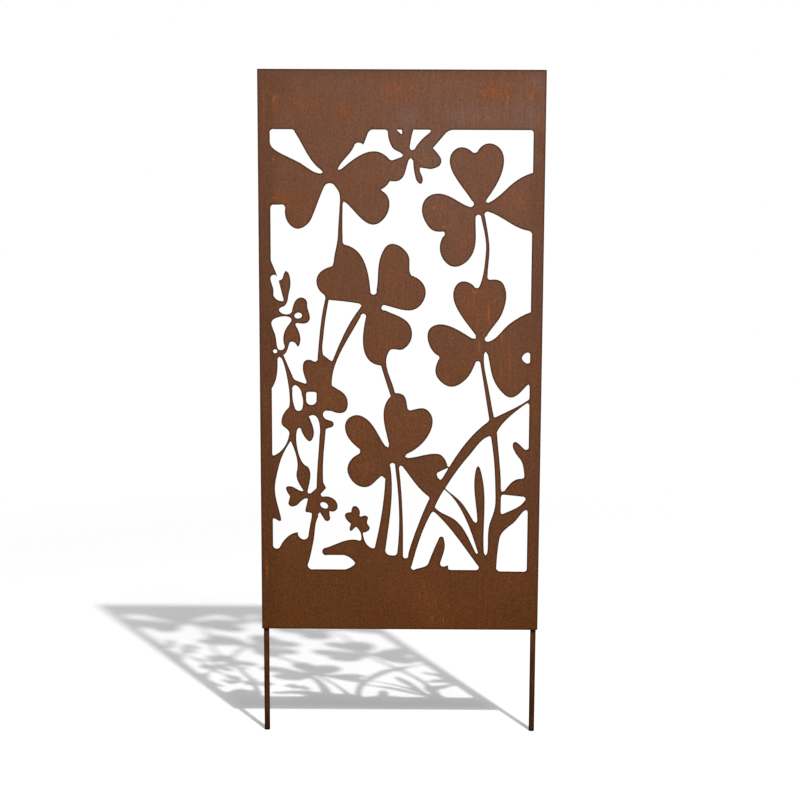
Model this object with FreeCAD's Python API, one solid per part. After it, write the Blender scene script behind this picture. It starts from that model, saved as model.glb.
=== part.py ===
import FreeCAD, Part
import math
import os

# Garden trellis screen: one cut-out steel sheet on two round bars whose lower ends are ground stakes.
# Millimetres. The origin is midway between the bars' axes at the sheet's foot, which is the ground line
# once the stakes are pushed in. X runs across the sheet, Z up, and the sheet's front faces -Y.

# Sheet
SHEET_W = 500.0
SHEET_H = 1000.0
SHEET_T = 2.0
SHEET_CORNER_R = 1.5
SIDE_BORDER = 21.0
TOP_BAND = 103.0
BOTTOM_BAND = 111.0

# Bars: each runs up behind a side border and out below the sheet as a stake
BAR_D = 10.0
BAR_EDGE_GAP = 2.5
BAR_TOP_GAP = 12.0
BAR_CHAMFER = 0.5
STAKE_LEN = 193.0

# Stitch welds: a bead on each side of a bar at each place
WELD_PLACES = 5
WELD_LEN = 28.0
WELD_END_GAP = 10.0
WELD_ROOT = 1.5
WELD_LEG = 5.0
WELD_RISE_ANGLE = 60.0
WELD_CROWN = 0.4

# The window that the ornament is drawn for: left, bottom, right and top,
# from the sheet's centre line and foot
DRAWN_WINDOW = (-229.0, 111.0, 229.0, 897.0)

# Outlines: how near a curve keeps to its points, and how near two ends are to be joined
CURVE_FIT = 0.3
JOIN_GAP = 0.01

# Derived sizes
BAR_R = BAR_D / 2
BAR_X = SHEET_W / 2 - BAR_EDGE_GAP - BAR_R
BACK_Y = -BAR_R
FRONT_Y = BACK_Y - SHEET_T
L, B, R, T = DRAWN_WINDOW
SCALE_X = (SHEET_W - 2 * SIDE_BORDER) / (R - L)
SCALE_Z = (SHEET_H - TOP_BAND - BOTTOM_BAND) / (T - B)


def at(point):
    """A drawn point, across and up, placed on the sheet's front face and stretched with the window."""
    across, up = point
    x = across * SCALE_X
    z = BOTTOM_BAND + (up - B) * SCALE_Z
    return FreeCAD.Vector(x, FRONT_Y, z)


def edge_through(points):
    """Two points give a straight edge, three an arc, and more a smooth curve."""
    if len(points) == 2:
        return Part.makeLine(points[0], points[1])
    if len(points) == 3:
        return Part.Arc(points[0], points[1], points[2]).toShape()
    curve = Part.BSplineCurve()
    curve.approximate(Points=points, DegMin=3, DegMax=3, Tolerance=CURVE_FIT, Continuity="C1")
    return curve.toShape()


def opening(start, *runs):
    """A closed cut-out: each run goes on from the last point, and a straight edge closes it."""
    edges = []
    here = at(start)
    for run in runs:
        points = [here] + [at(point) for point in run]
        edges.append(edge_through(points))
        here = points[-1]
    if here.distanceToPoint(at(start)) > JOIN_GAP:
        edges.append(Part.makeLine(here, at(start)))
    return Part.Wire(edges)


def round_hole(centre, radius_x, radius_z, tilt):
    """An oval cut-out turned by tilt degrees."""
    middle = at(centre)
    wire = Part.Wire(Part.makeCircle(1.0, FreeCAD.Vector(0, 0, 0), FreeCAD.Vector(0, -1, 0)))
    matrix = FreeCAD.Matrix()
    matrix.scale(radius_x * SCALE_X, 1.0, radius_z * SCALE_X)
    matrix.rotateY(math.radians(-tilt))
    matrix.move(middle)
    return wire.transformGeometry(matrix)


# Beside the upper left clover's top leaflet
top_left = opening(
    (L, 889),
    [(-227.5, 895.5), (-222, T)],
    [(-191, T)],
    [(-188, 896), (-186, 893)],
    [(-178, 880), (-170, 865), (-161, 849.3), (-151.5, 837.5), (-141, 827.7)],
    [(-137, 823.5)],
    [(-141, 821)],
    [(-150, 823), (-170, 835), (-190, 846), (-210, 855.5), (-222, 863), (-227, 868.5), (L, 876)],
)

# Between that leaflet, the right leaflet and the top blossom
top_middle = opening(
    (-110.5, 830),
    [(-100, 845), (-91.5, 854.5), (-82, 870), (-76, 874.5), (-71, 873.5), (-67, 871)],
    [(-63, 879), (-59.5, 888), (-56, 894.5), (-50, T)],
    [(-30, T)],
    [(-25.5, 895.5), (-24, 891)],
    [(-22, 879), (-18, 869.5), (-12, 862.5), (-5, 859), (0, 856)],
    [(2.5, 853)],
    [(0, 850)],
    [(-13, 845.5)],
    [(-17.5, 844.5), (-21.5, 846.5)],
    [(-30, 854), (-39, 858.5), (-50, 859.7), (-64, 856.5), (-80, 848.5), (-95, 837), (-105, 829)],
    [(-109.5, 827.3)],
    [(-110.5, 830)],
)

# The two gaps between the top blossom's petals
petal_gap_small = opening(
    (-9, T),
    [(0, T)],
    [(1, 891)],
    [(0, 889.5)],
    [(-2, 890.5)],
)
petal_gap_large = opening(
    (22, T),
    [(48, T)],
    [(51, 895.5)],
    [(48, 891.5)],
    [(40, 885), (32, 877.5), (26, 869), (22.5, 863.5)],
    [(17.5, 861.7)],
    [(14.5, 865)],
    [(15, 873), (17, 884), (19.5, 894), (22, T)],
)

# The great opening from the top right corner down to the lower clover
great = opening(
    (91, T),
    [(223, T)],
    [(227.5, 895.5), (R, 891)],
    [(R, 824)],
    # upper right clover: top edge of its right leaflet, then its heart
    [(212, 817), (200, 810), (185, 797), (170, 783.5), (159, 775), (152, 771.5)],
    [(147.5, 773)],
    [(149.5, 778)],
    [(157, 789), (166, 803), (173.5, 820.5), (178.5, 843), (174.5, 860.5), (163, 871.5),
     (150, 874), (139, 869), (132, 860)],
    [(127.5, 857.8), (122.5, 859.7)],
    [(113, 865.7), (103, 867.5), (92.5, 862.5), (85, 852.5), (84, 840), (88.5, 825.5), (98.5, 808.3),
     (111, 791.7), (123, 774.7)],
    [(125.5, 766.5), (118.5, 764.5)],
    # its left leaflet
    [(102, 772.5), (82, 783), (63, 787.3), (47, 782), (37.5, 769), (36.5, 752), (44, 734.5),
     (55, 723), (66, 720.8), (74, 721)],
    [(76, 718), (73, 712)],
    [(68, 699), (68.5, 685), (75, 670.5), (85, 661.7), (95, 659.5), (108, 663), (121, 675.5),
     (129, 694), (131, 712), (129.7, 735), (130, 746)],
    [(135, 750.5), (139.5, 746)],
    # its stem, down into the middle right clover's heart
    [(144, 727), (148, 706), (148.5, 685), (146, 656.5), (141, 633.5), (137.5, 624)],
    [(133.5, 622), (129, 624.5)],
    [(120, 631.5), (109, 633.7), (98, 628), (92.5, 616), (92.5, 602), (98.5, 586.5), (109, 569),
     (121.5, 552.5), (132, 539)],
    [(132.5, 532.5)],
    [(126, 532.7)],
    # that clover's left leaflet and stem
    [(110, 542.5), (90, 553), (71, 557.5), (55, 553.5), (47.5, 540),
     (48.5, 525), (57, 509.5), (66, 502)],
    [(68, 499.5), (66.5, 494)],
    [(62, 481), (62.5, 468), (73, 453.5), (90, 446.3), (106, 451.5),
     (120, 464.5), (128, 478.5), (132, 488)],
    [(136.5, 492.2), (141, 488)],
    [(144, 470.5), (149, 441.5), (154, 411), (157.5, 390)],
    [(157.5, 386), (155, 382.5)],
    # the arching blade, down to the lower clover's right leaflet
    [(140, 370), (120, 348.5), (105, 328.5), (88, 301.5)],
    [(86, 300.5)],
    [(84.5, 302)],
    [(81.5, 311), (76, 320), (65, 324.5), (47, 323.3), (30, 319.3), (13, 316.8)],
    [(8.5, 319.2)],
    [(11, 324)],
    [(25, 331.7), (41.5, 346.5), (53.5, 366), (57.5, 385), (52.5, 398.5),
     (40, 407), (27, 405.5), (17, 403)],
    [(14, 404.5), (12, 409)],
    [(10, 421), (5, 430.5), (-2, 433.5), (-9, 434.2)],
    # the short stem, up to the middle left clover
    [(-10.5, 436)],
    [(-16, 453.5), (-22.5, 472.5), (-26, 488), (-24, 501), (-19, 511.5)],
    [(-15, 512.8), (-6, 512.2), (5, 513.5), (14, 522), (19.5, 535),
     (18.5, 549), (9, 564), (-8, 573.5), (-28, 582)],
    [(-34.3, 587.5), (-27, 590.7)],
    [(-10, 586), (8, 582.2), (24, 583.8), (37.5, 595.5), (43.7, 613),
     (39, 629), (28, 639.3), (18.5, 643.5)],
    [(14.8, 652), (14.7, 662), (14, 675), (5, 689.5), (-9, 698.5), (-22, 697.5), (-32.5, 686),
     (-38.5, 667), (-41, 642), (-43.3, 617)],
    [(-48.5, 609.7), (-53.7, 616)],
    [(-57, 640), (-62.5, 663), (-72, 680), (-84, 691.5), (-100, 697.5)],
    # up the upper left clover's stem to its right leaflet and the top blossom
    [(-102.5, 701)],
    [(-103, 720), (-103, 745), (-102.6, 768)],
    [(-101, 772.5)],
    [(-97, 770.5)],
    [(-86.5, 760.5), (-72, 744.5), (-58, 734.5), (-43, 733.7), (-30, 743), (-22, 759.5), (-21.5, 775),
     (-27, 786.5), (-34, 791.5)],
    [(-35.7, 793.5)],
    [(-33, 795)],
    [(-27, 799.5), (-20, 808.5)],
    [(-10, 808), (-1.5, 811), (5, 820), (9, 833), (12.5, 845)],
    [(16, 848.3)],
    [(20.2, 844)],
    [(21, 832), (24.5, 814)],
    [(29, 806), (33, 803.8), (37.2, 809.5), (35.5, 818), (32.5, 832)],
    [(50, 829.3)],
    [(58, 831), (65.5, 834.7)],
    [(69.3, 843), (66, 852)],
    [(61, 858.7), (54.5, 865.5)],
    [(75.5, 890)],
    [(82.4, 895.2), (91, T)],
)

# Left opening, from the upper left clover down to the left blossoms
left = opening(
    (L, 760),
    [(-227.5, 764.7), (-221, 766.5)],
    [(-209, 767)],
    [(-204.5, 765), (-203.3, 760)],
    [(-203.5, 750), (-199, 737), (-190, 727.5), (-180, 724.7), (-168, 730), (-157, 743), (-149, 763),
     (-141, 784), (-135, 797.5)],
    [(-125.5, 804.3), (-115, 797.5)],
    [(-109.5, 789.5), (-107.3, 778), (-108.3, 758), (-110.3, 730),
     (-111.7, 706), (-116, 684), (-118.5, 668)],
    [(-120.5, 660)],
    [(-128, 657.3), (-140, 651), (-147.5, 641), (-148.7, 629), (-144.5, 618), (-136.5, 610)],
    [(-133.7, 605.5), (-134, 600)],
    [(-138.5, 577), (-143, 548), (-145.5, 518), (-147.5, 496)],
    [(-149.5, 491), (-155, 490.8)],
    [(-162, 493.3), (-168.5, 492.5), (-173, 485), (-173.5, 474.5), (-170, 462), (-167.2, 454)],
    [(-168, 450.5)],
    [(-172, 451.2)],
    [(-184, 455.5)],
    [(-188, 457.5), (-192, 464)],
    [(-198.5, 479), (-208, 501.5)],
    # the small leaves beside the left border
    [(-203, 506.5), (-200, 513), (-197.5, 522), (-191, 525.5), (-186.5, 522.5), (-184, 518)],
    [(-181.3, 517)],
    [(-179, 521)],
    [(-177.7, 529.5), (-180, 542.5), (-186.3, 555)],
    [(-185.5, 558)],
    [(-182, 559)],
    [(-174, 557.8), (-167.5, 558.7)],
    [(-162.5, 562.5), (-160.8, 570.5)],
    [(-162.5, 577.5), (-164.8, 585), (-165.3, 592.5)],
    [(-169, 601.5), (-177, 604)],
    [(-184, 600.8), (-188.7, 593.5), (-191.8, 583)],
    [(-194.5, 576.5), (-200, 574.3)],
    [(-207, 574.7), (-213.5, 578.5), (-214, 584.5), (-207, 588)],
    [(-201.5, 594), (-198.5, 607), (-195.5, 620), (-194.8, 634), (-198, 647.5)],
    [(-202.7, 651.3)],
    [(-206, 646.5)],
    [(-208.5, 638)],
    [(-210.5, 635.7), (-215.3, 634)],
    [(-211.5, 618), (-207, 600)],
    [(-208, 597.2)],
    [(-212, 597.6)],
    [(-219, 600.3), (-223.5, 605), (-225, 619), (-228, 629), (-229.8, 637.5)],
    [(-226.5, 643.2), (-218, 640.5)],
    [(-221, 650), (-225.5, 660.5), (L, 670)],
)

# Small openings beside the left border
border_gap = opening(
    (-228.5, 557),
    [(-225.5, 564.5), (-218, 568.7), (-206, 570.3), (-197, 569.3), (-193.5, 564), (-197, 557.5)],
    [(-204, 547), (-208, 532), (-206, 519)],
    [(-208.5, 511.7), (-213, 510.3), (-218, 513.5)],
    [(-220.3, 527), (-223, 540), (-227.5, 552), (-228.5, 557)],
)
border_dot = round_hole((-222.5, 508.3), 3.8, 3.6, 0)
leaf_hole = round_hole((-181.3, 572), 6.8, 5.2, 10)

# Between the middle left clover's two stems
stem_gap = opening(
    (-126.5, 600),
    [(-108, 598.3), (-90, 596.3), (-74, 593.8)],
    [(-69.7, 590.7)],
    [(-72, 586)],
    [(-83.5, 569.7), (-97, 547), (-110, 518.3), (-120.5, 493)],
    [(-122.5, 491)],
    [(-125, 492.5)],
    [(-137.5, 502)],
    [(-138.8, 510), (-138, 527), (-134.5, 558), (-129.5, 588.5), (-127.8, 598)],
    [(-127.4, 599.5)],
    [(-126.5, 600)],
)

# Centre opening, from the middle left clover down to the bottom band
centre = opening(
    (-61.7, 570),
    [(-65.5, 575.7), (-71, 571)],
    [(-79, 556.7), (-95, 528.3), (-110.5, 499), (-118.5, 477.5), (-122, 457), (-122, 447)],
    # right side of the left blossom, its bud and stalk
    [(-112, 441), (-101.5, 433.5), (-94.5, 421), (-94.5, 408.5),
     (-102, 398.7), (-112, 398), (-123, 401.5)],
    [(-133, 402)],
    [(-138, 396.5), (-136, 389.5)],
    [(-127, 384.5), (-119.5, 380), (-120.5, 374), (-128, 370.7), (-133.2, 368)],
    [(-135, 350), (-137, 325), (-138.7, 290), (-138, 271)],
    [(-133, 261.5)],
    [(-142.5, 250.5)],
    # the lower blossom's right side
    [(-141.5, 247), (-138.5, 245.2)],
    [(-129.5, 245.4), (-119.5, 241.5), (-113.5, 233), (-112.5, 225)],
    [(-115.5, 220.5), (-126.8, 219.5)],
    [(-127, 214), (-125.8, 206.5)],
    [(-130, 200.8), (-136, 203.5)],
    [(-144, 216.5)],
    [(-146, 215), (-147.2, 209)],
    [(-150.3, 201.5), (-154, 178), (-158.5, 150), (-162, 134), (-166.5, 119.5)],
    [(-164.5, 113.5), (-156, B)],
    [(-99, B)],
    [(-94, 112.7), (-82.5, 120)],
    [(-81, 123.3)],
    [(-83, 126.5)],
    [(-90.5, 133.3), (-101, 138)],
    # the long leaf and the small flower on its stalk
    [(-131, 138)],
    [(-140.3, 143.5), (-134, 151)],
    [(-117, 157.5), (-100, 164), (-86, 166.5), (-73, 164.5)],
    [(-70, 166)],
    [(-69.7, 170)],
    [(-71.5, 180), (-79.5, 190.5)],
    [(-86.5, 183.7)],
    [(-90.5, 182.3)],
    [(-91, 187)],
    [(-88.7, 196)],
    [(-94, 201), (-98.2, 206), (-99.2, 212), (-95, 216), (-88, 217)],
    [(-87, 223), (-81, 228.4), (-75, 224.5), (-73.3, 210.5)],
    [(-72, 209.2)],
    [(-68.5, 209.2)],
    [(-63, 210.8), (-58.5, 208.5), (-58.3, 203.5), (-59.7, 198.5), (-57.5, 193.5), (-54.5, 188),
     (-59, 182), (-67, 180)],
    [(-66, 172), (-60.5, 158.5), (-49.5, 150.5)],
    [(-46.8, 150.7)],
    [(-45.3, 153)],
    # the lower clover's left stem and leaflets
    [(-39.5, 180), (-33.3, 214), (-29.3, 247), (-27, 279)],
    [(-33.3, 284.2)],
    [(-43, 275.5), (-54, 266), (-67, 263.3), (-82, 270.5), (-92.5, 285),
     (-94.5, 300), (-88, 313.5), (-75.5, 323)],
    [(-72, 328), (-75.5, 334.5)],
    [(-90, 349), (-98, 364.5), (-97.5, 381), (-88.5, 391.5), (-76, 394),
     (-61.5, 388), (-46, 370.5), (-27, 338.5)],
    [(-21.7, 335.7)],
    [(-20.5, 341)],
    [(-25, 360), (-29.5, 383), (-29.5, 405), (-24, 420.5), (-17.5, 428.5)],
    # up the short stem to the middle left clover's lower leaflet
    [(-25, 451), (-35, 483.5)],
    [(-45, 485.5), (-56, 492.5), (-64, 507), (-67.3, 528), (-65.8, 548), (-61.7, 570)],
)

# Left strip and the openings inside the left blossom
left_strip = opening(
    (L, 442),
    [(-222, 456), (-219, 472), (-218.3, 495)],
    [(-215.5, 498.7)],
    [(-211.5, 496)],
    [(-204.5, 476), (-200, 451), (-197, 424), (-199.5, 407)],
    [(-206.5, 399), (-211.5, 388), (-210.5, 375.5), (-201.5, 367.5), (-198.7, 358)],
    [(-202, 346), (-210, 332.5), (-218, 324.7), (-226, 320.3)],
    [(-228, 320.3)],
    [(L, 322.5)],
)
blossom_gap_long = opening(
    (-192.3, 438),
    [(-191.8, 421), (-187.5, 405)],
    [(-181.5, 401.3), (-175.5, 405)],
    [(-173.8, 412), (-176, 431)],
    [(-179.5, 442), (-187, 448)],
    [(-191.3, 445), (-192.3, 438)],
)
blossom_gap_square = opening(
    (-168, 431),
    [(-166.8, 434.5), (-163, 435.8)],
    [(-154, 435.8)],
    [(-150.5, 434.6), (-149.4, 431)],
    [(-149.7, 421)],
    [(-152.2, 414.8), (-158.7, 412.2)],
    [(-165.4, 414.8), (-168, 421)],
)

# Under the left blossom, around its hanging petal
hanging_petal_gap = opening(
    (-163.3, 391.5),
    [(-159, 393.7), (-152.5, 393), (-147, 386.5), (-144, 374), (-144.3, 357)],
    [(-146.5, 325), (-149.2, 288), (-150, 264)],
    [(-151, 260)],
    [(-161, 251.2)],
    [(-165.5, 251.3)],
    [(-166, 256)],
    [(-163.3, 267), (-161.3, 283), (-162, 293.5), (-167, 301)],
    [(-175, 307.5), (-181, 320.5), (-185.5, 343), (-186, 358), (-183.3, 369)],
    [(-180.5, 371)],
    [(-177.3, 369)],
    [(-173, 357.5), (-167.5, 349.8), (-161, 346.8), (-156, 352.5),
     (-154.7, 362), (-157, 376), (-163.3, 391.5)],
)

# Lower left opening, around the lower blossom's left petals
lower_left = opening(
    (-197, 345.5),
    [(-204, 333.5), (-213, 315), (-220, 290), (-224.3, 268), (-224.3, 250), (-220, 229), (-214.5, 207)],
    [(-214, 201)],
    [(-218, 200.3)],
    [(-225.5, 205)],
    [(-228, 205)],
    [(L, 202)],
    [(L, 156)],
    [(-223.5, 149), (-216.5, 152.5)],
    [(-209.5, 164), (-199, 174), (-188, 179), (-183.7, 179.5)],
    [(-182, 171.5), (-177.5, 167.3), (-172, 166.3), (-165.5, 172)],
    [(-163, 188), (-159, 209)],
    [(-159, 215)],
    [(-162.5, 216.2)],
    [(-168.5, 217)],
    [(-170.5, 219)],
    [(-170, 223)],
    [(-165.8, 241)],
    [(-168, 242.3), (-174, 240), (-182, 233), (-190, 227.7), (-199, 229.2), (-201, 233.5)],
    [(-197.7, 246)],
    [(-202, 252.5), (-204.8, 259.5), (-199, 264.3), (-191.5, 262.3), (-182, 257), (-175, 255.3)],
    [(-173.7, 256)],
    [(-174.3, 257.5)],
    [(-180.5, 267.5), (-185, 278), (-185.7, 290)],
    [(-184, 301), (-187, 323), (-195, 345)],
    [(-196, 346)],
    [(-197, 345.5)],
)
lower_blossom_hole = round_hole((-136.5, 229.5), 7.6, 5.3, -32)

# Right opening, between the two right clovers
right = opening(
    (R, 714),
    [(R, 580)],
    [(211, 571.7), (198, 563.5), (182, 549.5), (167, 533.5), (155, 527.2)],
    [(149.5, 529), (151.5, 536.5)],
    [(161, 551), (173, 567), (181.5, 586), (185.5, 606), (182.5, 624),
     (173.5, 635.3), (164, 637.3), (157, 636.8)],
    [(153, 638.5), (152, 643)],
    [(152.7, 658), (154.8, 685), (153.5, 707), (149, 734), (146.3, 748)],
    [(147, 754.5), (152.5, 755.7)],
    [(168, 749.3), (192, 735), (209, 726.7), (222, 723)],
    [(227.5, 720), (R, 714)],
)
right_leaflet_hole = opening(
    (214.7, 498.5),
    [(217.5, 504), (222, 507.3), (226.5, 507.7), (R, 504)],
    [(R, 491)],
    [(227, 488.5), (222.5, 489), (216.5, 493.5), (214.7, 498.5)],
)

# Right of the middle right clover's stem, above and below the arching blade's tip
above_blade = opening(
    (147.6, 505),
    [(150.3, 509.3)],
    [(154.3, 503.5)],
    [(158, 484), (165, 459), (176, 440.5), (188, 430), (197, 427.2), (207, 431.5), (223.5, 448.5)],
    [(227, 451)],
    [(R, 447)],
    [(R, 428)],
    [(228.3, 424.5), (225.5, 421.7)],
    [(210, 412), (190, 401.7), (169, 391.3)],
    [(167, 391.2)],
    [(166, 393)],
    [(162.5, 410), (156, 444), (149.5, 475), (147.6, 505)],
)
below_blade = opening(
    (223.5, 416.3),
    [(226.5, 417.2)],
    [(R, 414)],
    [(R, 337)],
    [(227, 333.5), (221, 334.3)],
    [(216, 339), (209.5, 345), (203, 346.3), (200.3, 341.5), (204, 330), (213, 316.5), (218.5, 307),
     (221, 294), (222, 284.5)],
    [(221, 281)],
    [(217, 279.7)],
    [(205, 277), (196, 269.5), (187, 257.7)],
    [(182.5, 255.7)],
    [(180.5, 260)],
    [(179.8, 282), (177, 314), (173.5, 348), (172, 364)],
    [(177, 374), (189, 387.5), (205, 402.5), (223.5, 416.3)],
)

# Under the arch, around the upright blade
upright_blade_gap = opening(
    (161.5, 355.5),
    [(160, 357.2)],
    [(157, 356.8)],
    [(148.5, 352), (132, 333.7), (115, 312.5), (98, 289.5), (81.5, 263.5)],
    [(81, 261.5)],
    [(82, 260)],
    [(95, 249.3), (109.5, 236.5), (121.5, 219), (132, 201.5)],
    [(137, 198)],
    [(138.7, 203)],
    [(136.5, 227), (133.3, 252), (132.8, 277), (136, 299)],
    [(139.2, 303)],
    [(142.5, 299)],
    [(147.5, 280), (151.3, 247), (151, 213), (150.5, 180), (151.5, 143)],
    [(154.3, 138.3)],
    [(157, 142)],
    [(158.2, 162), (158.8, 185), (165, 209), (170.3, 229), (170.7, 252),
     (169.3, 288), (166, 325), (161.5, 355.5)],
)

# Between and below the two curved blades
curved_blade_gap = opening(
    (77.5, 257.8),
    [(79, 259.5)],
    [(81, 258)],
    [(91, 249), (102, 234.5), (114.5, 212.5), (126, 186.5), (135, 160), (140.3, 143.5)],
    [(138.8, 140.8)],
    [(136.3, 143.3)],
    [(125, 167), (113, 188.5), (100, 202.5), (85, 211.8), (71, 218.7), (63, 226)],
    [(62.3, 227.7)],
    [(63, 230)],
    [(70, 244.5), (77.5, 257.8)],
)
ground_gap = opening(
    (56, 216.5),
    [(59, 219)],
    [(63, 217)],
    [(81.5, 198), (103, 171), (122.5, 144.5), (140, 120)],
    [(141.5, 113.5), (137.5, B)],
    [(92, B)],
    [(88, 112)],
    [(87, 115)],
    [(87, 118.5)],
    [(86, 119.7)],
    [(84, 118.8)],
    [(79, 117.2), (74, 119), (73.5, 127), (78, 141), (80.8, 154.5), (79, 168)],
    [(75, 172.8), (70, 169.5)],
    [(62, 151.5), (51, 122.5)],
    [(49, 120), (38, 115), (26, B)],
    [(21, 113), (21.3, 119)],
    [(29, 147.5), (41.5, 185), (56, 216.5)],
)

# Lower right corner
corner_gap_small = opening(
    (180.7, 246),
    [(182, 250)],
    [(186, 250.8)],
    [(219, 247.3)],
    [(224.2, 244.5), (223, 239)],
    [(214, 229.7), (200, 222), (184.5, 215)],
    [(181.5, 215.5)],
    [(180.5, 219)],
)
corner_gap_large = opening(
    (222.5, 221.3),
    [(227, 223)],
    [(R, 219)],
    [(R, 114)],
    [(227.5, 110), (222, 108.5)],
    [(181, 108.8)],
    [(175.5, 111.5), (174, 118)],
    [(175.5, 142), (178, 163.5), (183, 179.5), (194, 191), (206, 201), (214.5, 212), (222.5, 221.3)],
)

# Between the lower clover's right leaflet, its stems and the arch
arch_hole = opening(
    (65.3, 286.5),
    [(66, 289.5), (69, 291.7)],
    [(77, 295.7), (84.5, 299)],
    [(85.5, 298)],
    [(84, 295)],
    [(75, 279.5)],
    [(71.5, 277)],
    [(67.5, 280.8)],
)
right_stem_gap = opening(
    (-2.3, 299),
    [(0, 303.3)],
    [(4, 301.5)],
    [(13.5, 288.5), (29, 268), (41.5, 254.3), (50.5, 247)],
    [(52.5, 244)],
    [(51.5, 240.5)],
    [(43, 222), (32, 193), (20.5, 160.5), (14.8, 137)],
    [(10, 132.2), (5.5, 138)],
    [(5.3, 170), (4.8, 210), (2.3, 250), (-2.3, 299)],
)
stem_slit = opening(
    (-17.5, 300),
    [(-13.8, 307.7), (-9.5, 302)],
    [(-5, 265), (-2.3, 220), (-2, 180), (-5, 144)],
    [(-8, 138.3), (-13, 137.5)],
    [(-18, 137.7)],
    [(-24.5, 141.5), (-26, 150)],
    [(-22, 180), (-17, 222), (-15, 255), (-17.5, 300)],
)

OPENINGS = [
    top_left, top_middle, petal_gap_small, petal_gap_large, great,
    left, border_gap, border_dot, leaf_hole, stem_gap, centre,
    left_strip, blossom_gap_long, blossom_gap_square, hanging_petal_gap,
    lower_left, lower_blossom_hole,
    right, right_leaflet_hole, above_blade, below_blade,
    upright_blade_gap, curved_blade_gap, ground_gap,
    corner_gap_small, corner_gap_large,
    arch_hole, right_stem_gap, stem_slit,
]


def screen_sheet():
    """The sheet: a plain rectangle with rounded corners and the cut-outs taken through it."""
    half = SHEET_W / 2
    blank = Part.makeBox(SHEET_W, SHEET_T, SHEET_H, FreeCAD.Vector(-half, FRONT_Y, 0))
    corners = [edge for edge in blank.Edges if edge.BoundBox.YLength > edge.Length / 2]
    blank = blank.makeFillet(SHEET_CORNER_R, corners)
    front = min(blank.Faces, key=lambda face: face.CenterOfMass.y)
    face = Part.Face([front.OuterWire] + OPENINGS, "Part::FaceMakerBullseye")
    return face.extrude(FreeCAD.Vector(0, SHEET_T, 0))


def bar(side):
    """A round bar with deburred ends, its stake below the sheet and its upright behind the border."""
    top = SHEET_H - BAR_TOP_GAP
    foot = -STAKE_LEN
    inner = BAR_R - BAR_CHAMFER
    outline = [
        (0, foot),
        (inner, foot),
        (BAR_R, foot + BAR_CHAMFER),
        (BAR_R, 0),
        (BAR_R, top - BAR_CHAMFER),
        (inner, top),
        (0, top),
        (0, foot),
    ]
    points = [FreeCAD.Vector(r, 0, z) for r, z in outline]
    profile = Part.Face(Part.makePolygon(points))
    turned = profile.revolve(FreeCAD.Vector(0, 0, 0), FreeCAD.Vector(0, 0, 1), 360)
    turned.translate(FreeCAD.Vector(side * BAR_X, 0, 0))
    return turned


def bead(side, way, z):
    """One weld bead in the corner between a bar and the sheet's back, clear of the closed root."""
    rise = math.radians(WELD_RISE_ANGLE)
    root = math.asin(WELD_ROOT / BAR_R)
    middle = (rise + root) / 2

    def place(out, back):
        return FreeCAD.Vector(side * BAR_X + way * out, BACK_Y + back, z)

    def on_bar(angle):
        return place(BAR_R * math.sin(angle), BAR_R - BAR_R * math.cos(angle))

    toe = place(WELD_LEG, 0)
    heel = place(WELD_ROOT, 0)
    shoulder = on_bar(rise)
    crown = (toe + shoulder) * 0.5 + FreeCAD.Vector(way * WELD_CROWN, 0, 0)
    edges = [
        Part.makeLine(heel, toe),
        Part.Arc(toe, crown, shoulder).toShape(),
        Part.Arc(shoulder, on_bar(middle), on_bar(root)).toShape(),
        Part.makeLine(on_bar(root), heel),
    ]
    return Part.Face(Part.Wire(edges)).extrude(FreeCAD.Vector(0, 0, WELD_LEN))


def bar_welds(side):
    """All the beads on one bar, evenly spaced up the sheet and kept in from its ends."""
    first = WELD_END_GAP
    last = SHEET_H - BAR_TOP_GAP - WELD_END_GAP - WELD_LEN
    pitch = (last - first) / (WELD_PLACES - 1)
    beads = []
    for place in range(WELD_PLACES):
        for way in (-1, 1):
            beads.append(bead(side, way, first + place * pitch))
    return Part.makeCompound(beads)


NODES = {
    "screen_sheet": screen_sheet(),
    "left_stake": bar(-1),
    "right_stake": bar(1),
    "left_stake_welds": bar_welds(-1),
    "right_stake_welds": bar_welds(1),
}

os.makedirs("parts", exist_ok=True)
for name, shape in NODES.items():
    shape.exportStep(os.path.join("parts", name + ".step"))
    print(name, shape.isValid(), len(shape.Solids), round(shape.Volume))
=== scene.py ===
import math

import bmesh
import bpy
from mathutils import Matrix, Vector


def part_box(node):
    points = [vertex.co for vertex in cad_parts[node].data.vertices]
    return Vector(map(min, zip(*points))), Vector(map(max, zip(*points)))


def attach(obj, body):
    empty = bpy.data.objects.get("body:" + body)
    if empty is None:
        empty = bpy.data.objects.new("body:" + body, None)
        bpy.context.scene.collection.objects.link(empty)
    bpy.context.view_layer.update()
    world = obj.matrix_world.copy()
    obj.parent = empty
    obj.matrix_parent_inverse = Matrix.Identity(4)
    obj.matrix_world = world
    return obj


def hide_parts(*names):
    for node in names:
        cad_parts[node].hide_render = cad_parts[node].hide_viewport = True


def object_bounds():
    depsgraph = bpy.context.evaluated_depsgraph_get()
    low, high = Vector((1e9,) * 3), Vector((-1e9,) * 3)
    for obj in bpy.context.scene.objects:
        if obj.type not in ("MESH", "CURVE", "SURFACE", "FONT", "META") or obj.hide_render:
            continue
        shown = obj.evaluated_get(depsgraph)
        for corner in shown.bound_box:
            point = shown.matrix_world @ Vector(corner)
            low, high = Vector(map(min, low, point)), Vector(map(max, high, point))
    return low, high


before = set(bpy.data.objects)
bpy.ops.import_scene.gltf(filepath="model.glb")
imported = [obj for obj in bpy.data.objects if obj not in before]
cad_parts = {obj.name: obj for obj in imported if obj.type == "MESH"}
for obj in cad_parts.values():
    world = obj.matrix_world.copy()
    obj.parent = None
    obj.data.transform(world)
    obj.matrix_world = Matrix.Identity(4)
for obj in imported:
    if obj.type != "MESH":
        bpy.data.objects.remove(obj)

cad_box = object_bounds()


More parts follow.
